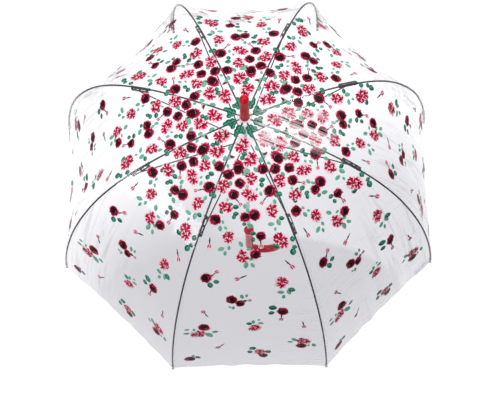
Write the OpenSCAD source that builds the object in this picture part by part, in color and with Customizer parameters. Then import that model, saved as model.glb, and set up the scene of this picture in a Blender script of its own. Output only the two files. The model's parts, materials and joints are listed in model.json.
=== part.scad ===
// Clear dome umbrella, open, held upright by its crook.
// Z points up along the shaft. The origin is the middle of the grip.
// Every rib, sleeve and film panel is drawn in the crown's frame: z = 0 at the
// rib pivots, and the rib runs in the XZ plane before it is turned to its place.

/* [Ribs] */
// Diameter of a rib rod
rib_d = 3.6; // [3.2:0.1:3.8]
// Slope of a rib where it leaves the crown, in degrees below level
first_slope = 1.5; // [0:0.5:3]
// Radius of the circle of rib pivots in the crown
pivot_r = 14; // [13.5:0.1:14.5]

/* [Stretchers] */
// Diameter of a stretcher rod
stretcher_d = 2.6; // [2.2:0.1:2.8]
// Distance along the rib from the crown pivot to the stretcher's pin
pin_s = 244; // [236:1:248]
// Sideways step from the rib's plane to the stretcher's plane
side_step = 3.9; // [3.8:0.1:4.2]

/* [Canopy film] */
// Thickness of the clear film
film_t = 0.2; // [0.15:0.05:0.3]
// Height of the film's middle above the rib's axis
film_lift = 3.2; // [3.1:0.1:3.6]

/* [Shaft and handle] */
// Outer diameter of the steel shaft
shaft_d = 8; // [7.6:0.1:8.4]
// Height of the rib pivots above the middle of the grip
crown_h = 773; // [770:1:776]
// Diameter of the handle's straight grip
grip_d = 19; // [18:0.5:21]
// Radius of the crook's centre line
crook_r = 36; // [32:1:42]
// Length of the ferrule above the canopy
ferrule_l = 100; // [94:1:108]

/* [Hidden] */
$fn = 48;

rib_count = 8;
sector = 360 / rib_count;
half_sector = sector / 2;
first_rib = -90 + half_sector;   // rib 1 stands just right of the front panel's middle

// The rib is a chain of tangent arcs: [length, bend in degrees].
// It bends by hand between the third and the fourth.
rib_arcs = [[165, 14], [112, 17], [55, 12], [55, 12], [140, 17], [180, 14]];
flex_arc = 3;
sleeve_arc = 1;

function radius_of(arc) = arc[0] * 180 / (PI * arc[1]);
// One step along an arc from [r, z, slope]
function step(p, r, bend) = [
    p[0] + r * (sin(p[2] + bend) - sin(p[2])),
    p[1] + r * (cos(p[2] + bend) - cos(p[2])),
    p[2] + bend];
function arc_start(i) = i == 0 ? [pivot_r, 0, first_slope]
    : step(arc_start(i - 1), radius_of(rib_arcs[i - 1]), rib_arcs[i - 1][1]);
function length_to(i) = i == 0 ? 0 : length_to(i - 1) + rib_arcs[i - 1][0];
// The arc that holds arc length s, and the rib's point and slope there
function arc_at(s, i = 0) = i == len(rib_arcs) - 1 || s <= length_to(i + 1) ? i : arc_at(s, i + 1);
function rib_at(s) = let (i = arc_at(s), f = (s - length_to(i)) / rib_arcs[i][0])
    step(arc_start(i), radius_of(rib_arcs[i]), rib_arcs[i][1] * f);

rib_r = rib_d / 2;
flex_s = length_to(flex_arc);
rib_end = arc_start(len(rib_arcs));
rib_l = length_to(len(rib_arcs));
rod_gap = 0.15;          // gap between the two rods of a rib
band_l = 3;
band_t = 0.15;

// Stretcher: the pin lies under the rib, and the run back to the runner is as
// long as the run from the crown pivot to the pin, so both ends stay at pivot_r.
pin_drop = 3;
pin_r = 1;
pin_fit = 0.05;
rib_pin = rib_at(pin_s);
pin_x = rib_pin[0] - pin_drop * sin(rib_pin[2]);
pin_z = rib_pin[1] - pin_drop * cos(rib_pin[2]);
stretcher_r = stretcher_d / 2;
stretcher_l = norm([pin_x - pivot_r, pin_z]);
stretcher_slope = atan2(-pin_z, pin_x - pivot_r);
runner_z = 2 * pin_z;
eye_r = 3;
eye_t = 2;
tab_r = 1;
tab_l = 9;

sleeve_s0 = 208;
sleeve_s1 = 253;
sleeve_r = rib_r + 0.6;
cheek_y0 = side_step + stretcher_r + 0.2;
cheek_y1 = cheek_y0 + 1;
web_end = 1.3;                   // the web drops to this at the cheek, under the film

crown_top = 2.6;
crown_bottom = -8;
crown_outer = 18;
slot_w = rib_d + 0.8;
slot_r0 = 10.8;
wire_r = 0.7;
crown_neck_l = 14;
hub_neck_r = 7.5;

shaft_r = shaft_d / 2;
shaft_bore_r = shaft_r - 0.6;
seat_r = shaft_r + 0.02;         // fixed parts that grip the shaft
shaft_top = 46;
shaft_bottom = -802;

washer_z = film_lift + 0.4;
washer_t = 1.6;
washer_r = 17;
ferrule_base_r = 10.8;
ferrule_base_t = 5;
ferrule_r = 9.7;
ferrule_head_r = 10.2;
ferrule_head_z = 75;
ferrule_z = washer_z + washer_t;

runner_bore_r = shaft_r + 0.3;
runner_sleeve_r = 9.5;
runner_ring_r = 17.6;
runner_ring_up = 5;
runner_ring_down = 7;
runner_l = 58;
runner_wire_r = 12.4;
runner_wire_t = 0.6;
tab_slot_w = stretcher_d + 0.9;
keyway_w = 2;
keyway_r = 7.9;

catch_t = 1.2;
catch_h = 16;
catch_out = 7.2;
catch_in = 0.6;
top_catch_z = runner_z - runner_l - catch_h - 0.5;
bottom_catch_z = -512;

grip_r = grip_d / 2;
grip_top = -718;
grip_bottom = -818;
crook_end_l = 10;
collar_r = 12;
collar_z0 = -728;
collar_z1 = -709;

hem_s = rib_l - 6;
film_rows_upper = 10;
film_rows_lower = 12;
film_gap = 0.3;
strap_l = 44;
strap_w = 34;
strap_t = 1;
strap_y = 140;

// ---- placing ----

module at_crown() translate([0, 0, crown_h]) children();
module at_rib(k) at_crown() rotate(first_rib + sector * (k - 1)) children();
module at_panel(k) at_crown() rotate(first_rib + half_sector + sector * (k - 1)) children();
// Stands a child drawn along +Z on the rib at s, pointing towards the tip
module along_rib(s) translate([rib_at(s)[0], 0, rib_at(s)[1]]) rotate([0, 90 + rib_at(s)[2], 0]) children();

// Sweeps a section along part of one of the rib's arcs. The section's x is
// outwards from the arc's centre, and its y is sideways.
module sweep_arc(i, s0, s1) {
    r = radius_of(rib_arcs[i]);
    start = arc_start(i);
    slope0 = start[2] + (s0 - length_to(i)) * 180 / (PI * r);
    bend = (s1 - s0) * 180 / (PI * r);
    translate([start[0] - r * sin(start[2]), 0, start[1] - r * cos(start[2])])
        rotate([90, 0, 0])
            rotate([0, 0, 90 - slope0 - bend])
                rotate_extrude(angle = bend)
                    translate([r, 0]) children();
}

module rod(i, s0, s1) sweep_arc(i, s0, s1) circle(rib_r);

// A thin band that joins two arcs of a rod at s
module band(s) along_rib(s) translate([0, 0, -band_l / 2]) cylinder(r = rib_r + band_t, h = band_l);

// A bar on its side: axis along Y from y0 to y1
module cross_bar(r, y0, y1) translate([0, y1, 0]) rotate([90, 0, 0]) cylinder(r = r, h = y1 - y0);

// ---- shaft, crown and ferrule ----

module shaft() color("silver") at_crown() difference() {
    translate([0, 0, shaft_bottom]) cylinder(r = shaft_r, h = shaft_top - shaft_bottom);
    translate([0, 0, shaft_bottom - 1]) cylinder(r = shaft_bore_r, h = shaft_top - shaft_bottom + 2);
    for (z = [top_catch_z, bottom_catch_z])
        translate([0, -catch_t / 2 - 0.2, z - 0.4]) cube([shaft_r + 1, catch_t + 0.4, catch_h + 0.8]);
}

module ferrule() color("crimson") at_crown() translate([0, 0, ferrule_z]) difference() {
    rotate_extrude() union() {
        square([ferrule_base_r, ferrule_base_t]);
        polygon([[0, ferrule_base_t], [ferrule_base_r, ferrule_base_t], [ferrule_r, ferrule_base_t + 7], [ferrule_r, ferrule_head_z - 8],
                 [ferrule_head_r, ferrule_head_z], [ferrule_head_r, ferrule_l - ferrule_head_r], [0, ferrule_l - ferrule_head_r]]);
        intersection() {
            translate([0, ferrule_l - ferrule_head_r]) circle(ferrule_head_r);
            translate([0, ferrule_l - ferrule_head_r]) square(ferrule_head_r);
        }
    }
    translate([0, 0, -1]) cylinder(r = seat_r, h = shaft_top - ferrule_z + 1.5);
}

module crown_slots(depth) for (k = [1:rib_count])
    rotate(first_rib + sector * (k - 1))
        translate([slot_r0, -slot_w / 2, -20]) cube([depth, slot_w, 40]);

module crown() color("whitesmoke") at_crown() difference() {
    union() {
        difference() {
            translate([0, 0, crown_bottom]) cylinder(r = crown_outer, h = crown_top - crown_bottom);
            crown_slots(12);
        }
        translate([0, 0, crown_bottom - crown_neck_l]) cylinder(r = hub_neck_r, h = crown_neck_l);
    }
    translate([0, 0, -40]) cylinder(r = seat_r, h = 60);
    rotate_extrude() translate([pivot_r, 0]) circle(wire_r + 0.02);
}

module crown_wire() color("silver") at_crown() rotate_extrude() translate([pivot_r, 0]) circle(wire_r);

module canopy_washer() color("white") at_crown() difference() {
    translate([0, 0, washer_z]) cylinder(r = washer_r, h = washer_t);
    cylinder(r = seat_r, h = 40);
}

// ---- ribs ----

// The sleeve's section: a tube round the rib, a web over the top and a cheek
// on the far side of the stretcher
module sleeve_section() {
    circle(sleeve_r);
    polygon([[rib_r - 0.3, 0], [sleeve_r, 0], [sleeve_r, 1], [web_end, cheek_y1], [web_end - 0.8, cheek_y1]]);
    translate([-pin_drop - 2.6, cheek_y0]) square([pin_drop + 2.6 + web_end, cheek_y1 - cheek_y0]);
    translate([-pin_drop - 2.6, -1.2]) square([pin_drop + 2.6, 2.4]);
}

module rib_upper(k) color("darkslategray") at_rib(k) difference() {
    union() {
        for (i = [0:flex_arc - 1])
            rod(i, length_to(i), length_to(i + 1) - (i == flex_arc - 1 ? rod_gap : 0));
        for (i = [1:flex_arc - 1]) band(length_to(i));
        translate([pivot_r, 0, 0]) cross_bar(2.6, -1.2, 1.2);
        mirror([0, 1, 0]) sweep_arc(sleeve_arc, sleeve_s0, sleeve_s1) sleeve_section();
        translate([pin_x, 0, pin_z]) cross_bar(pin_r, 0, cheek_y1 + 0.5);
    }
    translate([pivot_r, 0, 0]) cross_bar(1.2, -4, 4);
}

module rib_lower(k) color("darkslategray") at_rib(k) {
    for (i = [flex_arc:len(rib_arcs) - 1])
        rod(i, length_to(i) + (i == flex_arc ? rod_gap : 0), length_to(i + 1));
    for (i = [flex_arc + 1:len(rib_arcs) - 1]) band(length_to(i));
}

module tip_cap(k) color("crimson") at_rib(k) along_rib(rib_l) difference() {
    union() {
        translate([0, 0, -13]) cylinder(r1 = 2.5, r2 = 2.9, h = 16);
        translate([0, 0, 4.6]) sphere(3.4);
    }
    translate([0, 0, -14]) cylinder(r = rib_r + 0.05, h = 14.2);
}

// ---- stretchers and runner ----

module stretcher(k) color("darkslategray") at_rib(k) difference() {
    translate([pin_x, side_step, pin_z]) union() {
        cross_bar(eye_r, -eye_t / 2, eye_t / 2);
        rotate([0, -90 - stretcher_slope, 0]) {
            cylinder(r = stretcher_r, h = stretcher_l - tab_l);
            cylinder(r = tab_r, h = stretcher_l);
            translate([0, 0, stretcher_l]) sphere(tab_r);
        }
    }
    translate([pin_x, 0, pin_z]) cross_bar(pin_r + pin_fit, -1, cheek_y1 + 4);
}

module runner() color("whitesmoke") at_crown() translate([0, 0, runner_z]) difference() {
    union() {
        difference() {
            translate([0, 0, -runner_ring_down]) cylinder(r = runner_ring_r, h = runner_ring_down + runner_ring_up);
            for (k = [1:rib_count])
                rotate(first_rib + sector * (k - 1))
                    translate([slot_r0 - 0.6, side_step - tab_slot_w / 2, -20]) cube([12, tab_slot_w, 40]);
            rotate_extrude() translate([runner_wire_r, 0]) circle(runner_wire_t + 0.02);
        }
        translate([0, 0, -runner_l]) cylinder(r = runner_sleeve_r, h = runner_l);
        translate([0, 0, -runner_l]) cylinder(r = runner_sleeve_r + 1.2, h = 4);
        translate([0, 0, -runner_l + 22]) cylinder(r = runner_sleeve_r + 0.7, h = 2.5);
    }
    translate([0, 0, -80]) cylinder(r = runner_bore_r, h = 120);
    translate([0, -keyway_w / 2, -80]) cube([keyway_r, keyway_w, 120]);
}

module runner_wire() color("silver") at_crown() translate([0, 0, runner_z])
    rotate_extrude() translate([runner_wire_r, 0]) circle(runner_wire_t);

// A spring blade: a wedge that stands out of the shaft, steep at its top
module catch_blade(z) at_crown() translate([0, catch_t / 2, z]) rotate([90, 0, 0])
    linear_extrude(catch_t)
        polygon([[catch_in, 0], [shaft_r - 0.5, 0], [catch_out, catch_h - 3], [catch_out, catch_h], [catch_in, catch_h]]);

module top_catch() color("silver") catch_blade(top_catch_z);
module bottom_catch() color("silver") catch_blade(bottom_catch_z);

// ---- handle ----

module handle() color("crimson") at_crown() difference() {
    union() {
        translate([0, 0, grip_bottom]) cylinder(r = grip_r, h = grip_top - grip_bottom - 10.2);
        translate([crook_r, 0, grip_bottom]) rotate([90, 0, 0])
            rotate([0, 0, 180]) rotate_extrude(angle = 180) translate([crook_r, 0]) circle(grip_r);
        translate([2 * crook_r, 0, grip_bottom]) cylinder(r = grip_r, h = crook_end_l);
        translate([2 * crook_r, 0, grip_bottom + crook_end_l]) sphere(grip_r);
    }
    translate([0, 0, shaft_bottom - 1]) cylinder(r = seat_r, h = 200);
}

module handle_collar() color("crimson") at_crown() difference() {
    rotate_extrude() polygon([[0, collar_z0], [grip_r + 0.6, collar_z0], [grip_r + 0.6, collar_z0 + 6],
        [collar_r, collar_z1 - 3], [collar_r, collar_z1], [0, collar_z1]]);
    translate([0, 0, collar_z0 - 1]) cylinder(r = seat_r, h = 40);
}

// ---- canopy film ----

// Point of the film's middle over the rib at s, as [radius, z, slope]
function film_at(s, lift) = let (p = rib_at(s)) [p[0] + lift * sin(p[2]), p[1] + lift * cos(p[2]), p[2]];
// One row of a panel: its two edge points, straight between two ribs
function film_row(s, lift) = let (p = film_at(s, lift), w = p[0] * sin(half_sector) - film_gap)
    [[p[0] * cos(half_sector), -w, p[1]], [p[0] * cos(half_sector), w, p[1]]];

module film_panel(s0, s1, rows) {
    outer = [for (i = [0:rows]) each film_row(s0 + (s1 - s0) * i / rows, film_lift + film_t / 2)];
    inner = [for (i = [0:rows]) each film_row(s0 + (s1 - s0) * i / rows, film_lift - film_t / 2)];
    n = len(outer);
    polyhedron(concat(outer, inner), concat(
        [for (i = [0:rows - 1]) [2 * i, 2 * i + 1, 2 * i + 3, 2 * i + 2]],
        [for (i = [0:rows - 1]) [n + 2 * i, n + 2 * i + 2, n + 2 * i + 3, n + 2 * i + 1]],
        [for (i = [0:rows - 1]) [2 * i, 2 * i + 2, n + 2 * i + 2, n + 2 * i]],
        [for (i = [0:rows - 1]) [2 * i + 1, n + 2 * i + 1, n + 2 * i + 3, 2 * i + 3]],
        [[0, n, n + 1, 1], [n - 2, n - 1, 2 * n - 1, 2 * n - 2]]));
}

module film_upper(k) color("whitesmoke", 0.4) at_panel(k) film_panel(0, flex_s - film_gap, film_rows_upper);
module film_lower(k) color("whitesmoke", 0.4) at_panel(k) film_panel(flex_s + film_gap, hem_s, film_rows_lower);

// The closing strap: a short clear tab on the outside of panel 1's hem
module tie_strap() color("whitesmoke") at_panel(1) {
    p = film_at(hem_s - strap_w / 2 - 4, film_lift + 0.8);
    translate([p[0] * cos(half_sector), strap_y, p[1]])
        rotate([0, 90 + p[2], 0]) cube([strap_t, strap_l, strap_w], center = true);
}

shaft();
ferrule();
crown();
crown_wire();
canopy_washer();
runner();
runner_wire();
top_catch();
bottom_catch();
handle();
handle_collar();
tie_strap();
rib_upper(1);  // rib_upper_1
rib_upper(2);  // rib_upper_2
rib_upper(3);  // rib_upper_3
rib_upper(4);  // rib_upper_4
rib_upper(5);  // rib_upper_5
rib_upper(6);  // rib_upper_6
rib_upper(7);  // rib_upper_7
rib_upper(8);  // rib_upper_8
rib_lower(1);  // rib_lower_1
rib_lower(2);  // rib_lower_2
rib_lower(3);  // rib_lower_3
rib_lower(4);  // rib_lower_4
rib_lower(5);  // rib_lower_5
rib_lower(6);  // rib_lower_6
rib_lower(7);  // rib_lower_7
rib_lower(8);  // rib_lower_8
stretcher(1);  // stretcher_1
stretcher(2);  // stretcher_2
stretcher(3);  // stretcher_3
stretcher(4);  // stretcher_4
stretcher(5);  // stretcher_5
stretcher(6);  // stretcher_6
stretcher(7);  // stretcher_7
stretcher(8);  // stretcher_8
tip_cap(1);  // tip_cap_1
tip_cap(2);  // tip_cap_2
tip_cap(3);  // tip_cap_3
tip_cap(4);  // tip_cap_4
tip_cap(5);  // tip_cap_5
tip_cap(6);  // tip_cap_6
tip_cap(7);  // tip_cap_7
tip_cap(8);  // tip_cap_8
film_upper(1);  // film_upper_1
film_upper(2);  // film_upper_2
film_upper(3);  // film_upper_3
film_upper(4);  // film_upper_4
film_upper(5);  // film_upper_5
film_upper(6);  // film_upper_6
film_upper(7);  // film_upper_7
film_upper(8);  // film_upper_8
film_lower(1);  // film_lower_1
film_lower(2);  // film_lower_2
film_lower(3);  // film_lower_3
film_lower(4);  // film_lower_4
film_lower(5);  // film_lower_5
film_lower(6);  // film_lower_6
film_lower(7);  // film_lower_7
film_lower(8);  // film_lower_8
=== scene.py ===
"""Clear dome umbrella with a printed flower canopy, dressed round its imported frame."""
import json
import math

import bpy
import numpy as np
from mathutils import Matrix, Vector


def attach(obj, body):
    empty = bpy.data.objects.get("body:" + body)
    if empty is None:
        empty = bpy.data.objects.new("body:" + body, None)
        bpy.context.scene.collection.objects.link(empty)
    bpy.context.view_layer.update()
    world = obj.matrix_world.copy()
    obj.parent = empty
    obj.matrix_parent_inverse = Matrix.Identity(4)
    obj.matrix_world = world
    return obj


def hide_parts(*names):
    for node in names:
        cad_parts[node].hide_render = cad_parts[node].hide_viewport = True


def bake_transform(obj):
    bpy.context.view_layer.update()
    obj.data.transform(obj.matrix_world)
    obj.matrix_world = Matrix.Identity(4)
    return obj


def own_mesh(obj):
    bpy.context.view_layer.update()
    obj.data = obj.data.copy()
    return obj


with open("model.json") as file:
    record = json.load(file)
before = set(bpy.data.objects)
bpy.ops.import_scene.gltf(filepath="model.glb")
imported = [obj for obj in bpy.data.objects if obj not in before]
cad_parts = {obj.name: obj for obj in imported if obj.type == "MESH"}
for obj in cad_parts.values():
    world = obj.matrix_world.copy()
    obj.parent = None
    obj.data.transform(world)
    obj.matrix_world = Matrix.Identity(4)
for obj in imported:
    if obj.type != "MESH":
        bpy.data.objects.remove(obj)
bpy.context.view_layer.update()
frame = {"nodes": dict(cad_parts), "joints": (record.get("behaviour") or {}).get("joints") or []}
joints = {joint["name"]: joint for joint in frame["joints"]}

# ---- driving sizes, in metres ----

MM = 0.001
RIBS = 8
SECTOR = 2 * math.pi / RIBS
FIRST_RIB = -math.pi / 2 + SECTOR / 2
RIB_ARCS = ((165, 14), (112, 17), (55, 12), (55, 12), (140, 17), (180, 14))  # mm, degrees of bend
FIRST_SLOPE = 1.5
FLEX_S = 332 * MM
RIB_L = 707 * MM
HEM_S = 701 * MM
ROD_R = 1.8 * MM
FILM_LIFT = 3.2 * MM
SLEEVE = (208 * MM, 253 * MM)
PIN_S = 244 * MM
PIN_DROP = 3 * MM
HEM_W = 13 * MM
WELD_LIFT = 0.35 * MM
INK_LIFT = 0.3 * MM
INK_LAYER = 0.05 * MM

pivot = Vector(joints["rib_fold_1"]["pos_m"])
CROWN_Z = pivot.z
PIVOT_R = math.hypot(pivot.x, pivot.y)


def rib_curve():
    """Arc length, radius, height and slope along a rib, every millimetre."""
    slope = math.radians(FIRST_SLOPE)
    rows = [(0.0, PIVOT_R, CROWN_Z, slope)]
    for length, bend in RIB_ARCS:
        turn = math.radians(bend) / length
        for _ in range(length):
            s, r, z, slope = rows[-1]
            middle = slope + turn / 2
            rows.append((s + MM, r + math.cos(middle) * MM, z - math.sin(middle) * MM, slope + turn))
    return np.array(rows).T


CURVE = rib_curve()


def rib_at(s):
    """Radius, height and slope of the rib's axis at arc length s."""
    return tuple(np.interp(s, CURVE[0], CURVE[row]) for row in (1, 2, 3))


# ---- the film's shape ----

WRINKLE_SEED = 11
SIDE_PANELS = {1: 1.3, 2: 1.9, 3: 1.3, 4: 0.8, 5: 1.4, 6: 2.0, 7: 1.2, 8: 0.7}
SAG = 5 * MM
SIDE_SAG = {1: 0, 2: 8 * MM, 3: 15 * MM, 4: 16 * MM, 5: 16 * MM, 6: 14 * MM, 7: 4 * MM, 8: 0}


def smoothstep(low, high, x):
    t = np.clip((x - low) / (high - low), 0, 1)
    return t * t * (3 - 2 * t)


def wrinkle_waves():
    """Each panel's own folds: (waves across, waves along, phase, height)."""
    rng = np.random.default_rng(WRINKLE_SEED)
    return {panel: [(rng.uniform(2.5, 8.5), rng.uniform(-9, 9), rng.uniform(0, 2 * math.pi),
                     rng.uniform(0.25, 0.6) * MM) for _ in range(7)] for panel in range(1, RIBS + 1)}


WAVES = wrinkle_waves()


def film_offset(panel, s, u):
    """How far the film stands off the straight line between two ribs."""
    inside = 1 - u ** 2
    folds = sum(height * np.sin(math.pi * across * u + along * s + phase)
                for across, along, phase, height in WAVES[panel])
    pucker = 0.35 * MM * np.sin(s * 2 * math.pi / (19 * MM) + 2 * u) * smoothstep(0.72, 1.0, np.abs(u))
    growth = smoothstep(0.03, 0.45, s)
    sag = SAG * smoothstep(0.02, 0.4, s)
    sag = sag + SIDE_SAG[panel] * smoothstep(0.2, 0.42, s) * smoothstep(0.75, 0.5, s)
    return (-sag + folds * growth * SIDE_PANELS[panel]) * inside + pucker * growth


def film_points(panel, s, u, lift=FILM_LIFT):
    """Points of a panel at arc length s and at u across it, from -1 at one rib to 1 at the next."""
    s, u = np.broadcast_arrays(np.asarray(s, float), np.asarray(u, float))
    r, z, slope = rib_at(s)
    offset = film_offset(panel, s, u)
    out = lift + offset
    r, z = r + out * np.sin(slope), z + out * np.cos(slope)
    x, y = r * math.cos(SECTOR / 2), u * r * math.sin(SECTOR / 2)
    turn = FIRST_RIB + SECTOR * (panel - 0.5)
    c, n = math.cos(turn), math.sin(turn)
    return np.stack([x * c - y * n, x * n + y * c, z], -1)


def film_normals(panel, s, u):
    step = 1e-4
    along = film_points(panel, s + step, u) - film_points(panel, s - step, u)
    across = film_points(panel, s, u + step) - film_points(panel, s, u - step)
    normal = np.cross(along, across)
    return normal / np.linalg.norm(normal, axis=-1, keepdims=True)


def half_width(s):
    r, _, slope = rib_at(s)
    return (r + FILM_LIFT * np.sin(slope)) * math.sin(SECTOR / 2)


# ---- mesh helpers ----

def new_object(name, points, faces, normals=None, smooth=True):
    mesh = bpy.data.meshes.new(name)
    mesh.from_pydata([tuple(p) for p in points], [], faces)
    mesh.validate()
    mesh.polygons.foreach_set("use_smooth", [smooth] * len(mesh.polygons))
    if normals is not None:
        mesh.normals_split_custom_set_from_vertices([tuple(n) for n in normals])
    obj = bpy.data.objects.new(name, mesh)
    bpy.context.scene.collection.objects.link(obj)
    return obj


def grid_faces(rows, columns, first=0):
    return [(first + i * columns + j, first + i * columns + j + 1,
             first + (i + 1) * columns + j + 1, first + (i + 1) * columns + j)
            for i in range(rows - 1) for j in range(columns - 1)]


def in_rib_frame(rib, points):
    """Turns points drawn in the XZ plane to the rib's own place."""
    turn = FIRST_RIB + SECTOR * (rib - 1)
    c, n = math.cos(turn), math.sin(turn)
    points = np.asarray(points, float)
    return np.stack([points[..., 0] * c - points[..., 1] * n,
                     points[..., 0] * n + points[..., 1] * c, points[..., 2]], -1)


def sweep(section, stations):
    """Sweeps a closed section (outward, sideways) along the rib, with both ends closed."""
    points = []
    for s in stations:
        r, z, slope = rib_at(s)
        for outward, sideways in section:
            points.append((r + outward * math.sin(slope), sideways, z + outward * math.cos(slope)))
    n, rows = len(section), len(stations)
    faces = [(i * n + j, i * n + (j + 1) % n, (i + 1) * n + (j + 1) % n, (i + 1) * n + j)
             for i in range(rows - 1) for j in range(n)]
    faces += [tuple(reversed(range(n))), tuple(range((rows - 1) * n, rows * n))]
    return np.array(points), faces


def joined(chunks):
    """Several (points, faces) as one."""
    points, faces, start = [], [], 0
    for chunk_points, chunk_faces in chunks:
        points.append(chunk_points)
        faces += [tuple(start + i for i in face) for face in chunk_faces]
        start += len(chunk_points)
    return np.concatenate(points), faces


def lathe(profile, sides=32):
    """Turns (radius, height) points round Z. A radius of 0 closes an end."""
    points, rings = [], []
    for radius, height in profile:
        if radius == 0:
            rings.append([len(points)])
            points.append((0, 0, height))
        else:
            rings.append(list(range(len(points), len(points) + sides)))
            points += [(radius * math.cos(2 * math.pi * k / sides),
                        radius * math.sin(2 * math.pi * k / sides), height) for k in range(sides)]
    faces = []
    for low, high in zip(rings, rings[1:]):
        for k in range(sides):
            a, b = low[k % len(low)], low[(k + 1) % len(low)]
            c, d = high[(k + 1) % len(high)], high[k % len(high)]
            faces.append(tuple(dict.fromkeys((a, b, c, d))))
    return np.array(points), faces


# ---- shader helpers ----

class Socket:
    """One output of a shader tree; sums on it read as Python."""

    def __init__(self, shader, socket):
        self.shader, self.socket = shader, socket

    def _math(self, operation, *values):
        return self.shader.node("ShaderNodeMath", {"operation": operation}, dict(enumerate(values)))

    def __add__(self, other):
        return self._math("ADD", self, other)

    def __sub__(self, other):
        return self._math("SUBTRACT", self, other)

    def __rsub__(self, other):
        return self._math("SUBTRACT", other, self)

    def __mul__(self, other):
        return self._math("MULTIPLY", self, other)

    __radd__, __rmul__ = __add__, __mul__


class Shader:
    """A material and its tree."""

    def __init__(self, name):
        self.material = bpy.data.materials.new(name)
        self.material.use_nodes = True
        self.tree = self.material.node_tree
        self.tree.nodes.clear()
        self.place = self.node("ShaderNodeTexCoord", out="Object")

    def node(self, kind, settings=(), inputs=(), out=0):
        made = self.tree.nodes.new(kind)
        for key, value in dict(settings).items():
            setattr(made, key, value)
        for key, value in dict(inputs).items():
            if isinstance(value, Socket):
                self.tree.links.new(value.socket, made.inputs[key])
            else:
                made.inputs[key].default_value = value
        return Socket(self, made.outputs[out])

    def noise(self, scale, detail=3, distortion=0.0, out="Fac"):
        return self.node("ShaderNodeTexNoise", {}, {"Vector": self.place, "Scale": scale, "Detail": detail,
                                                    "Distortion": distortion}, out)

    def bump(self, height, strength, distance):
        return self.node("ShaderNodeBump", {}, {"Height": height, "Strength": strength, "Distance": distance})

    def between(self, value, low, high):
        """0 below low, 1 above high, smooth between."""
        return self.node("ShaderNodeMapRange", {"interpolation_type": "SMOOTHSTEP"},
                         {0: value, 1: low, 2: high, 3: 0.0, 4: 1.0})

    def creases(self, scale, low, high):
        """Thin streaks on the sheet, drawn out along one of its own directions."""
        sheet = self.node("ShaderNodeUVMap", {"uv_map": "sheet"})
        drawn_out = self.node("ShaderNodeMapping", {}, {"Vector": sheet, "Scale": scale})
        grain = self.node("ShaderNodeTexNoise", {}, {
            "Vector": drawn_out, "Scale": 1.0, "Detail": 3.0, "Distortion": 0.8})
        return self.between(grain, low, high)

    def glare(self):
        """A painted-on highlight: pale streaks that stay on the crown's right shoulder in every view."""
        x, y = (self.node("ShaderNodeSeparateXYZ", {}, {0: self.place}, axis) for axis in "XY")
        along, across = x * 0.94 - y * 0.34, x * 0.34 + y * 0.94
        drawn_out = self.node("ShaderNodeCombineXYZ", {}, {0: along * 12, 1: across * 190})
        streaks = self.node("ShaderNodeTexNoise", {}, {
            "Vector": drawn_out, "Scale": 1.0, "Detail": 3.0, "Distortion": 0.6})
        spot = self.between(x, 0.012, 0.04) * self.between(x, 0.21, 0.14)
        belt = self.between(y, -0.085, -0.05) * self.between(y, 0.035, 0.0)
        return self.between(streaks, 0.4, 0.6) * spot * belt

    def mix(self, factor, a, b):
        return self.node("ShaderNodeMix", {"data_type": "RGBA"}, {0: factor, 6: a, 7: b}, 2)

    def surface(self, socket):
        output = self.tree.nodes.new("ShaderNodeOutputMaterial")
        self.tree.links.new(socket.socket, output.inputs["Surface"])
        return self.material


def srgb(r, g, b):
    """A colour given as it is seen, 0 to 255, as linear light."""
    linear = (((c / 255 + 0.055) / 1.055) ** 2.4 if c > 10 else c / 255 / 12.92 for c in (r, g, b))
    return tuple(linear) + (1.0,)


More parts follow.
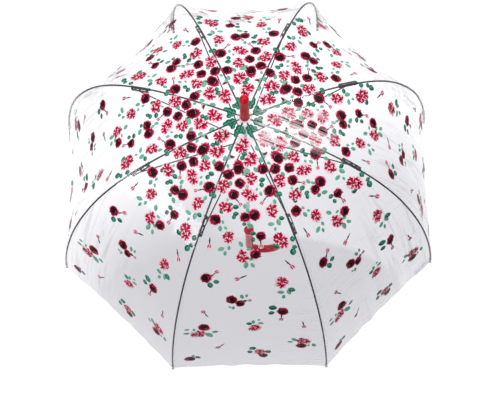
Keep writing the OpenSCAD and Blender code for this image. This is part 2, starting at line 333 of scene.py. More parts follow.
def clear_film(name, haze, painted_shade_tint, clear, crinkle):
    """Clear vinyl: light passes with a slight tint, a little haze drifts at random, and the skin mirrors the
    room.
    Where the two tints differ, shade is painted into the tint by place: the front of the dome is tinted grey
    as painted shade, its back clear and its right side a little lighter, with a band of painted shade round
    the lower front and painted shade along the side panels' folds.
    Pale streaks along the creases of the side panels and the right front are painted sheen, and the crown's
    right shoulder has a painted highlight."""
    shader = Shader(name)
    x, y = (shader.node("ShaderNodeSeparateXYZ", {}, {0: shader.place}, axis) for axis in "XY")
    broad = shader.noise(14, 4, 0.6)
    fine = shader.noise(60, 3, 1.2)
    along = shader.creases((75, 5, 1), 0.56, 0.74) * shader.between(x * x, 0.045, 0.12)
    right_front = shader.between(x - y * 0.4, 0.17, 0.26) * shader.between(y * -1, 0.1, 0.22)
    across = shader.creases((9, 70, 1), 0.54, 0.72) * right_front
    normal = shader.bump(broad * 0.7 + fine * 0.3 + along * 0.5 + across * 0.4, crinkle, 0.004)
    # Painted shade mask: the grey tint goes over the front of the dome, a little less of it on the right
    # side, and the full grey again in a band round the lower front.
    right = shader.between(x, -0.12, 0.06) * 0.3
    band = shader.between(y * -1, 0.236, 0.252) * right
    front = shader.between(x * 0.3 - y, -0.04, 0.24) * (1 - right) + band
    dark = shader.node("ShaderNodeBsdfTransparent", {}, {"Color": painted_shade_tint})
    light = shader.node("ShaderNodeBsdfTransparent", {}, {"Color": clear})
    edge = shader.node("ShaderNodeLayerWeight", {}, {"Blend": 0.12}, "Facing")
    # Painted shade: the folds of the side panels lean towards the grey tint, as darker streaks.
    folds = shader.creases((110, 7, 1), 0.5, 0.68) * shader.between(x * x, 0.04, 0.1)
    through = shader.node("ShaderNodeMixShader", {}, {
        0: front + folds * 0.35 + edge * 0.4, 1: light, 2: dark})
    # A lit pale layer carries the film's own random haze and its painted sheen: pale streaks along the
    # creases of the side panels and the right front, plus the painted highlight from glare().
    haze_and_sheen_white = shader.node("ShaderNodeBsdfPrincipled", {}, {
        "Base Color": srgb(244, 244, 247), "Roughness": 0.4, "Specular IOR Level": 0.0, "Normal": normal})
    haze_and_painted_sheen = shader.noise(9, 3) * 0.02 + along * 0.35 + across * 0.22 + shader.glare() * 0.5 + haze
    body = shader.node("ShaderNodeMixShader", {}, {0: haze_and_painted_sheen, 1: through, 2: haze_and_sheen_white})
    skin = shader.node("ShaderNodeBsdfGlossy", {}, {
        "Color": (1.0, 1.0, 1.0, 1.0), "Roughness": fine * 0.1 + 0.03, "Normal": normal})
    mirror = shader.node("ShaderNodeFresnel", {}, {"IOR": 1.45, "Normal": normal})
    return shader.surface(shader.node("ShaderNodeMixShader", {}, {0: mirror * 0.6, 1: body, 2: skin}))


def printed_ink():
    shader = Shader("printed ink")
    colour = shader.node("ShaderNodeAttribute", {"attribute_name": "ink"}, {}, "Color")
    # Painted highlight: glare() washes the print towards pale pink on the crown's right shoulder; the faint
    # noise is the ink's own patchiness.
    patchy_with_painted_glare = shader.mix(shader.noise(420, 3) * 0.012 + shader.glare() * 0.72, colour, srgb(255, 240, 244))
    body = shader.node("ShaderNodeBsdfPrincipled", {}, {
        "Base Color": patchy_with_painted_glare, "Roughness": shader.noise(90, 2) * 0.15 + 0.25, "Specular IOR Level": 0.05,
        "Normal": shader.bump(shader.noise(300, 2), 0.15, 0.0004)})
    return shader.surface(body)


def moulded(name, colour, dark, roughness, bump=0.15, see_through=0.0, coat=0.0, scale=60, painted_glow=0.0,
            drawn=1.0, shine=0.5):
    """A moulded plastic: slight colour drift, fine surface ripple, the light that it lets through, and
    painted light: an emission that lights it from within, though it is no lamp.
    drawn below 1 stretches the drift along z."""
    shader = Shader(name)
    spread = shader.node("ShaderNodeMapping", {}, {"Vector": shader.place, "Scale": (1.0, 1.0, drawn)})
    drift = shader.node("ShaderNodeTexNoise", {}, {"Vector": spread, "Scale": scale, "Detail": 4.0})
    body = shader.node("ShaderNodeBsdfPrincipled", {}, {
        "Base Color": shader.mix(shader.between(drift, 0.35, 0.65), dark, colour), "Emission Color": colour,
        "Emission Strength": painted_glow, "Specular IOR Level": shine,
        "Roughness": shader.noise(scale * 2, 3) * 0.12 + roughness,
        "Transmission Weight": see_through, "IOR": 1.46, "Coat Weight": coat, "Coat Roughness": 0.08,
        "Normal": shader.bump(shader.noise(scale * 5, 3), bump, 0.0006)})
    return shader.surface(body)


def metal(name, colour, roughness, metallic=1.0):
    """Drawn metal: a fine grain along z in its tone, gloss and surface."""
    shader = Shader(name)
    stretched = shader.node("ShaderNodeMapping", {}, {"Vector": shader.place, "Scale": (900, 900, 18)})
    grain = shader.node("ShaderNodeTexNoise", {}, {"Vector": stretched, "Scale": 1.0, "Detail": 3.0})
    body = shader.node("ShaderNodeBsdfPrincipled", {}, {
        "Base Color": shader.mix(grain, colour, tuple(0.75 * c for c in colour[:3]) + (1.0,)),
        "Metallic": metallic, "Roughness": grain * 0.15 + roughness,
        "Normal": shader.bump(grain, 0.2, 0.0002)})
    return shader.surface(body)


CLEAR, CLOUDY, WASHER_TINT = (0.98, 0.98, 0.99, 1.0), (0.9, 0.9, 0.93, 1.0), (0.97, 0.97, 0.98, 1.0)
# The grey tint given here is painted shade, laid on the front of the dome by clear_film.
film_material = clear_film("clear film", 0.004, (0.565, 0.56, 0.58, 1.0), (0.96, 0.96, 0.965, 1.0), 0.35)
weld_material = clear_film("welded double film", 0.03, CLEAR, CLEAR, 0.3)
hem_material = clear_film("folded hem film", 0.06, CLEAR, CLEAR, 0.3)
strap_material = clear_film("crumpled strap film", 0.22, CLOUDY, CLOUDY, 0.9)
ink_material = printed_ink()
red_plastic = moulded("red ferrule plastic", srgb(232, 14, 44), srgb(160, 0, 26), 0.3, bump=0.02,
                      scale=300, drawn=0.06, shine=0.25)
# Painted light: the emission stands in for light passing through the translucent crimson handle.
handle_plastic = moulded("translucent crimson plastic", srgb(224, 0, 50), srgb(150, 0, 28), 0.12,
                         bump=0.08, scale=90, painted_glow=0.3, coat=0.2)
cap_plastic = moulded("pink tip plastic", srgb(232, 110, 130), srgb(205, 60, 85), 0.2, see_through=0.35)
ball_plastic = moulded("red tip plastic", srgb(206, 24, 44), srgb(160, 10, 30), 0.2, coat=0.3)
# Painted light: the emission lightens the pale crown hub and runner where the film shades them.
hub_plastic = moulded("pale hub plastic", srgb(246, 246, 248), srgb(232, 232, 237), 0.3, painted_glow=0.45)
washer_film = clear_film("clear washer", 0.12, WASHER_TINT, WASHER_TINT, 0.1)
rod_material = moulded("dark glass fibre", srgb(20, 20, 23), srgb(11, 11, 13), 0.35, scale=140, shine=0.2)
sleeve_material = moulded("black sleeve", srgb(18, 18, 20), srgb(10, 10, 11), 0.35, shine=0.25)
stretcher_material = metal("black lacquered steel", (0.035, 0.035, 0.038, 1.0), 0.3, metallic=0.4)
shaft_material = metal("plated shaft steel", (0.62, 0.63, 0.65, 1.0), 0.16)
wire_material = metal("drawn wire", (0.55, 0.55, 0.57, 1.0), 0.25)


def paint(obj, *materials):
    obj.data.materials.clear()
    for material in materials:
        obj.data.materials.append(material)
    return obj


# ---- canopy film ----

def lay_out(obj, flat):
    """Gives a sheet its own flat layout, in metres, for the creases."""
    layer = obj.data.uv_layers.new(name="sheet")
    for loop, spot in zip(obj.data.loops, layer.data):
        spot.uv = flat[loop.vertex_index]


def film_piece(panel, band):
    upper = band == "upper"
    s0, s1 = (2 * MM, FLEX_S) if upper else (FLEX_S, HEM_S)
    rows, columns = (40, 33) if upper else (46, 41)
    s = np.linspace(s0, s1, rows)[:, None]
    u = np.linspace(-1, 1, columns)[None, :]
    points = film_points(panel, s, u).reshape(-1, 3)
    normals = film_normals(panel, s + 0 * u, u + 0 * s).reshape(-1, 3)
    faces = [tuple(reversed(face)) for face in grid_faces(rows, columns)]
    hem_from = len(faces)
    if not upper:
        hem_s = np.linspace(HEM_S - HEM_W, HEM_S + 0.4 * MM, 5)[:, None]
        hem = film_points(panel, hem_s, u, FILM_LIFT + 0.4 * MM).reshape(-1, 3)
        hem_faces = grid_faces(5, columns, len(points))
        faces += [tuple(reversed(face)) for face in hem_faces]
        normals = np.concatenate([normals, film_normals(panel, hem_s + 0 * u, u + 0 * hem_s).reshape(-1, 3)])
        points = np.concatenate([points, hem])
    obj = new_object(f"canopy_{band}_{panel}", points, faces, normals)
    flat = np.stack([u * half_width(s) + panel, s + 0 * u], -1).reshape(-1, 2)
    if not upper:
        hem_flat = np.stack([u * half_width(hem_s) + panel, hem_s + 0 * u], -1).reshape(-1, 2)
        flat = np.concatenate([flat, hem_flat])
    lay_out(obj, flat)
    paint(obj, film_material, hem_material)
    for polygon in obj.data.polygons[hem_from:]:
        polygon.material_index = 1
    return obj


# ---- the flower print ----

HALO, PALE = srgb(238, 156, 182), srgb(250, 216, 227)
CRIMSON, SCARLET, WINE = srgb(172, 2, 58), srgb(206, 10, 74), srgb(108, 0, 36)
MAROON, WHITE = srgb(34, 0, 10), srgb(252, 226, 234)
ROSE_RIM, ROSE_GLINT = srgb(140, 0, 44), srgb(206, 96, 122)
DEEP_GREEN, DARK_GREEN = srgb(34, 136, 108), srgb(8, 94, 74)
MINT, SOFT_MINT, PALE_MINT = srgb(114, 184, 158), srgb(90, 166, 140), srgb(134, 196, 174)
STEM = srgb(60, 44, 56)


def turned(points, angle, x=0.0, y=0.0):
    c, s = math.cos(angle), math.sin(angle)
    return [(px * c - py * s + x, px * s + py * c + y) for px, py in points]


def blot(rng, radius, corners, ragged, lobes=0, depth=0.0):
    """A round blot with an uneven rim."""
    phase = rng.uniform(0, 2 * math.pi)
    rim = []
    for k in range(corners):
        angle = 2 * math.pi * k / corners
        r = radius * (1 + depth * math.cos(lobes * angle + phase) + rng.uniform(-ragged, ragged))
        rim.append((r * math.cos(angle), r * math.sin(angle)))
    return rim


def crescent(radius, thick, start, sweep_angle, corners=7):
    """A tapering brush stroke along an arc."""
    outer, inner = [], []
    for k in range(corners + 1):
        t = k / corners
        angle = start + sweep_angle * t
        half = thick / 2 * math.sin(math.pi * (0.08 + 0.84 * t))
        outer.append(((radius + half) * math.cos(angle), (radius + half) * math.sin(angle)))
        inner.append(((radius - half) * math.cos(angle), (radius - half) * math.sin(angle)))
    return outer + inner[::-1]


def rose(rng, size):
    """A dark rose: ragged pink halo, crimson rim, near-black heart with a curled highlight, loose crumbs."""
    r = 1.05 * size
    shapes = [(blot(rng, 1.08 * r, 28, 0.13), HALO), (blot(rng, 0.98 * r, 24, 0.09), ROSE_RIM)]
    shapes.append((crescent(0.86 * r, 0.18 * r, 2.4, 1.9), SCARLET))
    shapes.append((crescent(0.84 * r, 0.14 * r, 5.3, 0.9), SCARLET))
    shapes.append((turned(blot(rng, 0.68 * r, 20, 0.12), 0, 0.07 * r, 0.07 * r), MAROON))
    shapes.append((turned(crescent(0.5 * r, 0.08 * r, 2.2, 1.6), 0, 0.05 * r, 0.05 * r), ROSE_GLINT))
    shapes.append((turned(crescent(0.3 * r, 0.12 * r, 5.2, 1.5), 0, 0.1 * r, 0.05 * r), WINE))
    shapes.append((turned(crescent(0.62 * r, 0.1 * r, 4.8, 1.0), 0, 0.05 * r, 0.0), WINE))
    for k in range(4):
        angle = rng.uniform(0, 2 * math.pi)
        crumb = blot(rng, 0.12 * r, 6, 0.3)
        shapes.append((turned(crumb, 0, 1.05 * r * math.cos(angle), 1.05 * r * math.sin(angle)), MAROON))
    return shapes


def fan_of_petals(rng, x, count, reach, colour):
    """Forked petals round one heart of a peony."""
    petals = []
    for k in range(count):
        long = reach * rng.uniform(0.72, 1.12)
        wide = long * rng.uniform(0.2, 0.38)
        blade = [(0.08 * long, 0), (0.55 * long, -wide), (0.96 * long, -0.75 * wide),
                 (0.8 * long, -0.1 * wide), (long, 0.55 * wide), (0.6 * long, wide)]
        petals.append((turned(blade, 2 * math.pi * (k + rng.uniform(-0.3, 0.3)) / count, x, 0), colour))
    return petals


def peony(rng, size):
    """An open bloom: pale ground, forked crimson petals round two hearts, and white slits between them."""
    r = 1.12 * size
    ground = [(1.1 * x, 0.94 * y) for x, y in blot(rng, 0.9 * r, 36, 0.17, 7, 0.12)]
    shapes = [(ground, PALE)]
    for x, count, reach, colour in ((-0.24, 8, 0.88, CRIMSON), (0.44, 6, 0.66, SCARLET),
                                    (-0.3, 5, 0.66, SCARLET), (0.4, 4, 0.45, CRIMSON)):
        shapes += fan_of_petals(rng, x * r, count, reach * r, colour)
    for k in range(11):
        way, near = 2 * math.pi * (k + rng.uniform(-0.4, 0.4)) / 11, rng.uniform(0.14, 0.34) * r
        slit = [(near, 0.0), (near + 0.3 * r, -0.075 * r), (near + 0.42 * r, 0.02 * r),
                (near + 0.26 * r, 0.07 * r)]
        shapes.append((turned(slit, way, (-0.26, 0.42)[k % 2] * r, 0), WHITE))
    shapes.append((turned(blot(rng, 0.17 * r, 12, 0.2, 5, 0.3), 0, 0.44 * r, 0), WINE))
    shapes.append((turned(blot(rng, 0.13 * r, 10, 0.2, 5, 0.2), 0, -0.24 * r, 0), WINE))
    return shapes


def leaf(size, colour, shade, width=0.36):
    """A round-pointed leaf with one darker half and pale veins."""
    steps = 8
    side = [(size * (k / steps - 0.5), size * width * math.sin(math.pi * k / steps) ** 0.7)
            for k in range(steps + 1)]
    whole = side + [(x, -y) for x, y in reversed(side[1:-1])]
    shapes = [(whole, colour), (side, shade)]
    midrib = [(-0.42 * size, 0.025 * size), (-0.42 * size, -0.025 * size), (0.42 * size, 0.0)]
    shapes.append((midrib, PALE_MINT))
    for k in (-1, 1):
        shapes.append(([(-0.15 * size, 0.0), (-0.08 * size, 0.0), (0.12 * size, k * 0.24 * size)], PALE_MINT))
    return shapes


def bud(rng, size):
    """A half-open bud on a thin dark stem, pointing along +x."""
    s = 1.6 * size
    outlines = {
        "stem": ((-2.3, 0.16), (-2.6, -0.1), (-1.5, -0.22), (-0.5, -0.16), (-0.5, 0.18), (-1.5, 0.1)),
        "knot": ((-1.5, -0.3), (-1, 0), (-1.5, 0.36), (-1.8, 0)),
        "halo": ((-0.8, 0), (-0.2, 0.75), (0.7, 0.8), (1.15, 0.2), (0.9, -0.6), (-0.1, -0.7)),
        "left": ((-0.5, 0.05), (0.1, 0.5), (0.95, 0.55), (0.7, 0.3), (0.1, 0.12)),
        "right": ((-0.5, -0.05), (0.1, -0.12), (0.85, 0), (0.75, -0.4), (0, -0.45)),
    }
    colours = {"halo": PALE, "stem": STEM, "knot": STEM, "left": CRIMSON, "right": SCARLET}
    return [([(s * x, s * y) for x, y in outlines[part]], colour) for part, colour in colours.items()]


def petal(_, size):
    """A single loose petal with a light streak."""
    light = turned(crescent(size, 0.16 * size, -0.4, 0.8), 0, 0.3 * size)
    return [(crescent(size, 0.42 * size, -0.5, 1.0), WINE), (light, HALO)]


def motif(rng, kind, size):
    makers = {"rose": rose, "tall rose": rose, "peony": peony, "bud": bud, "petal": petal}
    if kind in makers:
        return makers[kind](rng, size)
    if kind == "leaf":
        return leaf(1.16 * size, DEEP_GREEN, DARK_GREEN, 0.38)
    colour, shade = (MINT, SOFT_MINT)[int(rng.integers(2))], (SOFT_MINT, MINT)[int(rng.integers(2))]
    return leaf(1.15 * size, colour, shade, 0.3)


# The artwork of one panel, drawn with x across and y down from the crown:
# kind, down, across, size in mm, and the way it points in degrees
ARTWORK = (
    ("leaf", 13, -7, 13, 100), ("leaf", 20, -9, 12, 125), ("leaf", 21, -3, 12, 80),
    ("leaf", 14, 8, 14, 75), ("leaf", 22, 10, 13, 100), ("leaf", 30, 14, 11, 60),
    ("peony", 53, -5, 17, -60), ("petal", 66, -24, 13, 105), ("mint", 60, 25, 13, 65),
    ("mint", 78, -33, 14, 110), ("leaf", 72, -2, 12, 20), ("leaf", 81, -6, 11, -60),
    ("peony", 86, 10, 16, -66), ("mint", 86, 33, 12, 70), ("tall rose", 103, -14, 12.5, 90),
    ("rose", 107, 36, 11, 10), ("rose", 118, -35, 11, 70), ("mint", 114, 1, 19, -35),
    ("mint", 108, 21, 12, 60), ("rose", 138, -12, 10.5, 140), ("peony", 128, 11, 14, 90),
    ("leaf", 131, 34, 12, -20), ("leaf", 142, 33, 11, 80), ("mint", 152, 23, 7, 90),
    ("mint", 162, 31, 10, 80), ("mint", 138, -31, 11, 90), ("rose", 156, 50, 12, 200),
    ("peony", 145, -46, 14, 115), ("mint", 99, -36, 9, 80), ("rose", 163, -25, 10.5, 30),
    ("bud", 183, -12, 4, 50), ("bud", 181, 34, 4, 125), ("peony", 164, 8, 15, 36),
    ("leaf", 165, -65, 11, 90), ("mint", 174, -38, 7, 90), ("leaf", 165, 63, 11, 70),
    ("mint", 180, 59, 11, 80), ("peony", 191, -42, 14, 35), ("leaf", 184, -31, 8, 0),
    ("leaf", 190, -21, 12, 0), ("mint", 189, -2, 11, 90), ("mint", 198, 3, 9, 70),
    ("leaf", 200, -51, 9, 60), ("leaf", 205, -21, 11, 0), ("leaf", 212, -25, 10, 110),
    ("rose", 213, -2, 10, 260), ("rose", 208, 17, 11.5, 60), ("peony", 200, 53, 14, 90),
    ("rose", 217, -64, 11, 320), ("mint", 223, -48, 8, 90), ("mint", 237, -54, 12, 90),
    ("mint", 236, -43, 8, 50), ("leaf", 216, 73, 11, 0), ("mint", 225, 67, 14, 70),
    ("mint", 229, 51, 13, 0), ("mint", 240, 60, 8, 90), ("leaf", 228, -4, 9, 0), ("mint", 232, 9, 13, 30),
    ("rose", 255, 30, 9.5, 100), ("bud", 276, 30, 4.5, 85), ("leaf", 249, 14, 11, 0),
    ("leaf", 263, 14, 10, 90), ("peony", 258, -37, 13, 97), ("mint", 273, -12, 13, 60),
    ("mint", 285, 4, 9, 0), ("mint", 283, -53, 14, -20), ("mint", 281, -37, 10, 90),
    ("mint", 293, -45, 10, 100), ("bud", 274, -77, 4.5, 95), ("peony", 266, 72, 16.5, 50),
    ("leaf", 278, 61, 13, 20), ("leaf", 262, 95, 12, 80), ("leaf", 280, 99, 10, 0),
    ("leaf", 291, 96, 15, 90), ("peony", 301, -9, 14, -90), ("rose", 297, 18, 10.5, 45),
    ("mint", 308, 8, 11, 20), ("mint", 322, -2, 15, 100), ("mint", 323, 12, 12, 60),
    ("bud", 325, 93, 5, 45), ("rose", 352, -86, 11, 180), ("bud", 338, -65, 4.5, -45),
    ("leaf", 362, -65, 12, 0), ("leaf", 371, -78, 14, 80), ("bud", 356, -19, 5, 155),
    ("peony", 367, 72, 14.5, 98), ("leaf", 386, 93, 14, 20), ("mint", 393, 87, 14, 70),
    ("mint", 394, 70, 14, 0), ("mint", 407, 76, 11, 100), ("rose", 415, -34, 11, 0),
    ("rose", 426, -16, 9, 120), ("mint", 406, -12, 12, 70), ("mint", 404, -2, 9, 100),
    ("leaf", 419, -6, 8, 0), ("bud", 418, 3, 3.5, -5), ("mint", 438, -38, 7, 30),
    ("mint", 440, -31, 10, 100), ("leaf", 441, 53, 17, 15), ("leaf", 458, 50, 13, -10),
    ("rose", 453, 74, 11, 80), ("bud", 478, 71, 4.5, 92), ("bud", 452, -94, 4.5, -120),
    ("bud", 504, 119, 4.5, 80), ("leaf", 496, 2, 12, 10), ("mint", 490, 11, 12, 90),
    ("mint", 493, 27, 12, 0), ("mint", 482, 23, 7, -30), ("peony", 512, 14, 13, -37),
    ("rose", 505, -95, 11.5, 240), ("peony", 530, -109, 15, 166), ("mint", 511, -132, 10, 0),
    ("mint", 513, -117, 9, 100), ("mint", 526, -133, 13, 0), ("mint", 534, -85, 20, 50),
    ("mint", 523, -72, 13, 0), ("bud", 593, -66, 5, 130), ("peony", 566, 119, 14, 22),
    ("rose", 588, 114, 10.5, 10), ("mint", 560, 99, 15, 50), ("mint", 570, 90, 11, 0),
    ("mint", 586, 130, 8, 90), ("mint", 584, 141, 14, 80), ("leaf", 603, 8, 16, -45),
    ("leaf", 622, 2, 14, 90), ("leaf", 618, 42, 15, 60), ("peony", 619, 23, 13, 100),
    ("rose", 637, 31, 9.5, 60), ("rose", 649, -131, 11, 0), ("leaf", 641, -113, 13, 60),
    ("mint", 634, -123, 11, 80),
)


PRINT_SEED = 77
BROAD_SHAPE = 18  # a shape with more corners has a ring of its own half way in, to lie closely on the film


def ink_piece(panel, band):
    """The print on one piece of film, as thin ink shapes just proud of it."""
    points, faces, colours = [], [], []
    rng = np.random.default_rng(PRINT_SEED)
    for place, (kind, down, across, size, way) in enumerate(ARTWORK):
        shapes = motif(rng, kind, size)
        if (down * MM < FLEX_S) != (band == "upper"):
            continue
        layer = 0
        for shape, (outline, colour) in enumerate(shapes):
            layer += shape > 0 and colour != shapes[shape - 1][1]
            if kind == "tall rose":
                outline = [(1.25 * x, 0.85 * y) for x, y in outline]
            outline = turned(outline, math.radians(way), across, down)
            ring = np.array([tuple(np.mean(outline, 0))] + outline) * MM
            s = np.clip(ring[:, 1], 6 * MM, HEM_S - 2 * MM)
            u = np.clip(ring[:, 0] / half_width(s), -0.995, 0.995)
            ground = layer == 0 and colour in (HALO, PALE)
            over = 0 if ground else layer + 1 if kind in ("leaf", "mint") else layer + 2
            lift = FILM_LIFT + INK_LIFT + INK_LAYER * over + 0.004 * MM * (place % 12)
            start = len(points)
            points += list(film_points(panel, s, u, lift))
            n = len(outline)
            inner = start + 1
            if n > BROAD_SHAPE:
                half_s, half_u = (s[0] + s[1:]) / 2, (u[0] + u[1:]) / 2
                points += list(film_points(panel, half_s, half_u, lift))
                colours += [colour] * n
                inner += n
                outer = inner - n
                faces += [(inner + k, outer + k, outer + (k + 1) % n, inner + (k + 1) % n) for k in range(n)]
            faces += [(start, inner + k, inner + (k + 1) % n) for k in range(n)]
            colours += [colour] * (n + 1)
    obj = new_object(f"print_{band}_{panel}", points, faces)
    ink = obj.data.color_attributes.new("ink", "FLOAT_COLOR", "POINT")
    ink.data.foreach_set("color", np.array(colours, np.float32).ravel())
    return paint(obj, ink_material)


# ---- ribs ----

def ring(radius, sides, outward=0.0, sideways=0.0):
    step = 2 * math.pi / sides
    return [(outward + radius * math.cos(step * k), sideways + radius * math.sin(step * k))
            for k in range(sides)]


def rod_tree():
    """Geometry Nodes that sweep a line with a round section. Inputs: line, radius, sides and material."""
    tree = bpy.data.node_groups.new("rod along a line", "GeometryNodeTree")
    add = tree.nodes.new
    for name, kind in (("Line", "Geometry"), ("Radius", "Float"), ("Sides", "Int"), ("Material", "Material")):
        tree.interface.new_socket(name=name, in_out="INPUT", socket_type=f"NodeSocket{kind}")
    tree.interface.new_socket(name="Rod", in_out="OUTPUT", socket_type="NodeSocketGeometry")
    given, path, section, rod = (add(kind) for kind in (
        "NodeGroupInput", "GeometryNodeMeshToCurve", "GeometryNodeCurvePrimitiveCircle",
        "GeometryNodeCurveToMesh"))
    real, coated, result = (add(kind) for kind in (
        "GeometryNodeRealizeInstances", "GeometryNodeSetMaterial", "NodeGroupOutput"))
    rod.inputs["Fill Caps"].default_value = True
    for source, target in (
            (given.outputs["Line"], path.inputs["Mesh"]),
            (given.outputs["Radius"], section.inputs["Radius"]),
            (given.outputs["Sides"], section.inputs["Resolution"]),
            (path.outputs["Curve"], rod.inputs["Curve"]),
            (section.outputs["Curve"], rod.inputs["Profile Curve"]),
            (rod.outputs["Mesh"], real.inputs["Geometry"]),
            (real.outputs["Geometry"], coated.inputs["Geometry"]),
            (given.outputs["Material"], coated.inputs["Material"]),
            (coated.outputs["Geometry"], result.inputs["Rod"])):
        tree.links.new(source, target)
    return tree


ROD_TREE = rod_tree()


def rod_along(line, radius, sides, material):
    """Points and faces of a rod round a line, grown by the tree and taken as a plain mesh."""
    mesh = bpy.data.meshes.new("rod line")
    mesh.from_pydata([tuple(point) for point in line], [(k, k + 1) for k in range(len(line) - 1)], [])
    obj = bpy.data.objects.new("rod line", mesh)
    bpy.context.collection.objects.link(obj)
    grown = obj.modifiers.new("rod", "NODES")
    grown.node_group = ROD_TREE
    socket = {item.name: item.identifier for item in ROD_TREE.interface.items_tree}
    for name, value in (("Radius", radius), ("Sides", sides), ("Material", material)):
        grown[socket[name]] = value
    plain = bpy.data.meshes.new_from_object(obj.evaluated_get(bpy.context.evaluated_depsgraph_get()))
    points = np.array([tuple(vertex.co) for vertex in plain.vertices])
    faces = [tuple(polygon.vertices) for polygon in plain.polygons]
    obj.modifiers.remove(grown)
    bpy.data.objects.remove(obj)
    return points, faces


def rib_rod(rib):
    r, z, _ = rib_at(np.linspace(1.2 * MM, RIB_L, 90))
    points, faces = rod_along(np.stack([r, 0 * r, z], -1), ROD_R, 12, rod_material)
    eye, eye_faces = lathe([(0, -1.2 * MM), (2.3 * MM, -1.2 * MM), (2.6 * MM, -0.9 * MM),
                            (2.6 * MM, 0.9 * MM), (2.3 * MM, 1.2 * MM), (0, 1.2 * MM)], 20)
    eye = np.stack([eye[:, 0] + PIVOT_R, -eye[:, 2], eye[:, 1] + CROWN_Z], -1)
    points, faces = joined([(points, faces), (eye, eye_faces)])
    obj = new_object(f"rib_rod_{rib}", in_rib_frame(rib, points), faces)
    return paint(obj, rod_material)


def rib_sleeve(rib):
    """The slotted sleeve that holds the stretcher's end: tube, web, cheek, end collars and pin."""
    tube = sweep(ring(2.4 * MM, 14), np.linspace(*SLEEVE, 8))
    bridge = [(1.5 * MM, 0), (2.4 * MM, 0), (2.4 * MM, 1 * MM), (1.3 * MM, 6.3 * MM), (0.5 * MM, 6.3 * MM)]
    bridges = [sweep(bridge, np.linspace(low * MM, high * MM, 3))
               for low, high in ((208, 215), (227, 232), (247, 253))]
    cheek = sweep([(-5.5 * MM, 5.4 * MM), (1.2 * MM, 5.4 * MM), (1.3 * MM, 5.8 * MM), (1.3 * MM, 6.4 * MM),
                   (-5.5 * MM, 6.4 * MM)], np.linspace(*SLEEVE, 8))
    keel = sweep([(-5.5 * MM, -1.2 * MM), (0, -1.2 * MM), (0, 1.2 * MM), (-5.5 * MM, 1.2 * MM)],
                 np.linspace(*SLEEVE, 8))
    collars = [sweep(ring(2.75 * MM, 14), (s - 1.6 * MM, s + 1.6 * MM)) for s in SLEEVE]
    r, z, slope = rib_at(PIN_S)
    x, height = r - PIN_DROP * math.sin(slope), z - PIN_DROP * math.cos(slope)
    pin, pin_faces = lathe([(0, -1.6 * MM), (1.7 * MM, -1.6 * MM), (1.7 * MM, -1.2 * MM),
                            (1.0 * MM, -1.2 * MM), (1.0 * MM, 6.4 * MM), (1.7 * MM, 6.4 * MM),
                            (1.5 * MM, 7.0 * MM), (0, 7.1 * MM)], 16)
    pin = np.stack([pin[:, 1] + x, pin[:, 2], pin[:, 0] + height], -1)
    points, faces = joined([tube, *bridges, cheek, keel, *collars, (pin, pin_faces)])
    obj = new_object(f"rib_sleeve_{rib}", in_rib_frame(rib, points), faces, smooth=False)
    paint(obj, sleeve_material, wire_material)
    for polygon in obj.data.polygons[-len(pin_faces):]:
        polygon.material_index = 1
    return obj


def weld_band(rib):
    """The welded overlap of two panels over a rib."""
    s = np.linspace(16 * MM, HEM_S, 80)
    before, after = (rib + RIBS - 2) % RIBS + 1, rib
    columns = [(before, -3.2), (before, -1.6)] + [(after, across) for across in (0.0, 2.2, 4.4, 6.6, 8.3)]
    lines = []
    for panel, across in columns:
        w = half_width(s)
        u = 1 + across * MM / w if panel == before else -1 + across * MM / w
        edge = 0.12 * MM if across in (-3.2, 8.3) else 0.0
        lines.append(film_points(panel, s, u, FILM_LIFT + WELD_LIFT - edge))
    points = np.stack(lines, 1).reshape(-1, 3)
    faces = [tuple(reversed(face)) for face in grid_faces(len(s), len(columns))]
    return paint(new_object(f"weld_band_{rib}", points, faces), weld_material)


def tip_cap(rib):
    """A clear pink sleeve on the rib's end, with a red ball moulded on it."""
    r, z, slope = rib_at(RIB_L)
    sleeve = lathe([(1.9 * MM, -13 * MM), (2.5 * MM, -13 * MM), (2.75 * MM, -12.4 * MM), (2.55 * MM, -6 * MM),
                    (2.9 * MM, 0), (3.0 * MM, 1.6 * MM), (2.2 * MM, 2.4 * MM), (0, 2.5 * MM)], 20)
    ball = lathe([(0, 1.2 * MM)] + [(3.4 * MM * math.sin(a), 4.6 * MM - 3.4 * MM * math.cos(a))
                                    for a in np.linspace(0.25, math.pi - 0.25, 9)] + [(0, 8.0 * MM)], 20)
    points, faces = joined([sleeve, ball])
    along = np.array([math.cos(slope), 0, -math.sin(slope)])
    out = np.array([math.sin(slope), 0, math.cos(slope)])
    side = np.array([0, 1.0, 0])
    points = np.array([r, 0, z]) + points[:, :1] * out + points[:, 1:2] * side + points[:, 2:] * along
    obj = new_object(f"tip_{rib}", in_rib_frame(rib, points), faces)
    paint(obj, cap_plastic, ball_plastic)
    for polygon in obj.data.polygons[len(sleeve[1]):]:
        polygon.material_index = 1
    return obj


def tie_strap():
    """The crumpled closing strap on panel 1's hem."""
    rows, columns = 26, 30
    t = np.linspace(0, 1, rows)[:, None]
    v = np.linspace(0, 1, columns)[None, :]
    across = 118 * MM + 44 * MM * v + 2.5 * MM * np.sin(9 * t + 3 * v)
    s = HEM_S - 38 * MM + 34 * MM * t + 1.5 * MM * np.sin(11 * v)
    crumple = 1.1 + 0.5 * np.sin(13 * t + 9 * v) + 0.35 * np.sin(23 * v - 7 * t + 1)
    crumple = crumple + 0.3 * np.sin(31 * t + 5 * v)
    lift = FILM_LIFT + (0.7 + np.clip(crumple, 0, 3)) * MM * smoothstep(0, 0.12, v)
    w = half_width(s)
    points = film_points(1, s, np.clip(across / w, -1, 1), 0)
    normal = film_normals(1, s, np.clip(across / w, -1, 1))
    points = (points + normal * lift[..., None]).reshape(-1, 3)
    faces = [tuple(reversed(face)) for face in grid_faces(rows, columns)]
    return paint(new_object("closing_strap", points, faces), strap_material)


# ---- the pieces, and what each one moves with ----

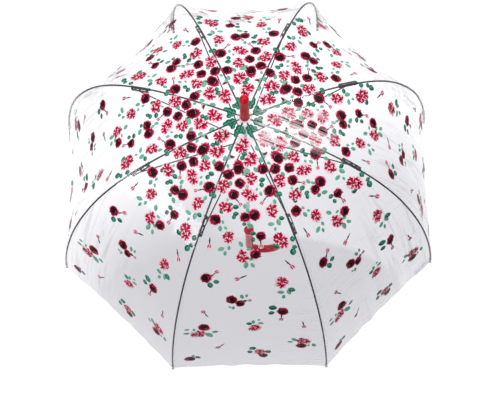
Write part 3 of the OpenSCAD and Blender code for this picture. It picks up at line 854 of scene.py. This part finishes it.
for n in range(1, RIBS + 1):
    for band in ("upper", "lower"):
        film = film_piece(n, band)
        ink = ink_piece(n, band)
        for piece in (film, ink):
            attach(piece, f"film_{band}_{n}")
            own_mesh(piece)
        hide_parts(f"film_{band}_{n}")
    rod, sleeve, weld, tip = rib_rod(n), rib_sleeve(n), weld_band(n), tip_cap(n)
    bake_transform(rod)
    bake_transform(weld)
    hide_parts(f"rib_upper_{n}", f"rib_lower_{n}")
    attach(sleeve, f"rib_upper_{n}")
    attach(tip, f"rib_lower_{n}")
    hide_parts(f"tip_cap_{n}")
    paint(frame["nodes"][f"stretcher_{n}"], stretcher_material)

strap = tie_strap()
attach(strap, "film_lower_1")
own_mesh(strap)
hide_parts("tie_strap")

for name, material in (("shaft", shaft_material), ("ferrule", red_plastic), ("crown", hub_plastic),
                       ("crown_wire", wire_material), ("canopy_washer", washer_film),
                       ("runner", hub_plastic), ("runner_wire", wire_material),
                       ("top_catch", wire_material), ("bottom_catch", wire_material),
                       ("handle", handle_plastic), ("handle_collar", handle_plastic)):
    paint(frame["nodes"][name], material)

# ---- camera ----

ELEVATION, AZIMUTH, ROLL = math.radians(69.9), math.radians(1.1), math.radians(1.9)
DISTANCE, LENS_PX = 4.0, 1927
ASIDE, ABOVE = -0.0052, 0.1712


def add_camera():
    data = bpy.data.cameras.new("camera")
    data.sensor_width = 36
    data.lens = LENS_PX / 500 * data.sensor_width
    data.clip_end = 50
    camera = bpy.data.objects.new("camera", data)
    bpy.context.scene.collection.objects.link(camera)
    forward = Vector((0, math.cos(ELEVATION), -math.sin(ELEVATION)))
    up = Vector((0, math.sin(ELEVATION), math.cos(ELEVATION)))
    right = Vector((1, 0, 0))
    place = Vector((0, 0, CROWN_Z)) - right * ASIDE - up * ABOVE - forward * DISTANCE
    basis = Matrix((right, up, -forward)).transposed().to_4x4()
    about = Matrix.Rotation(AZIMUTH, 4, "Z")
    camera.matrix_world = about @ Matrix.Translation(place) @ basis @ Matrix.Rotation(-ROLL, 4, "Z")
    bpy.context.scene.camera = camera


# ---- stage and lights ----

def add_light(name, place, target, size, power, size_y):
    data = bpy.data.lights.new(name, "AREA")
    data.shape = "RECTANGLE"
    data.size, data.size_y, data.energy = size, size_y, power
    light = bpy.data.objects.new(name, data)
    bpy.context.scene.collection.objects.link(light)
    light.location = place
    light.rotation_euler = (Vector(target) - Vector(place)).to_track_quat("-Z", "Y").to_euler()


def add_stage():
    size, height = 14.0, -1.3
    points = [(-size, -size, height), (size, -size, height), (size, size, height), (-size, size, height)]
    floor = new_object("floor", points, [(0, 1, 2, 3)], smooth=False)
    shader = Shader("pale floor")
    body = shader.node("ShaderNodeBsdfPrincipled", {}, {
        "Base Color": shader.mix(shader.noise(0.8, 3), srgb(250, 250, 251), srgb(246, 246, 248)),
        "Roughness": 0.9, "Specular IOR Level": 0.1})
    paint(floor, shader.surface(body))
    world = bpy.data.worlds.new("studio")
    world.use_nodes = True
    world.node_tree.nodes["Background"].inputs["Color"].default_value = (1.0, 1.0, 1.0, 1)
    world.node_tree.nodes["Background"].inputs["Strength"].default_value = 0.32
    bpy.context.scene.world = world
    add_light("ceiling", (0, 0.6, CROWN_Z + 3.2), (0, 0, CROWN_Z), 6.5, 72, 5.0)
    add_light("back_wall", (0, 3.4, CROWN_Z + 0.5), (0, 0, CROWN_Z), 5.0, 30, 2.0)
    add_light("floor_wash", (0, 0.6, -0.5), (0, 0.6, height), 4.5, 30, 4.0)
    add_light("crown_box", (1.2, 1.1, 2.84), (0.11, -0.03, 0.76), 0.45, 22, 0.6)
    add_light("left_box", (-2.05, -1.1, 2.1), (-0.19, -0.16, 0.71), 1.0, 24, 0.9)


add_camera()
add_stage()
bpy.context.scene.view_settings.view_transform = "Standard"
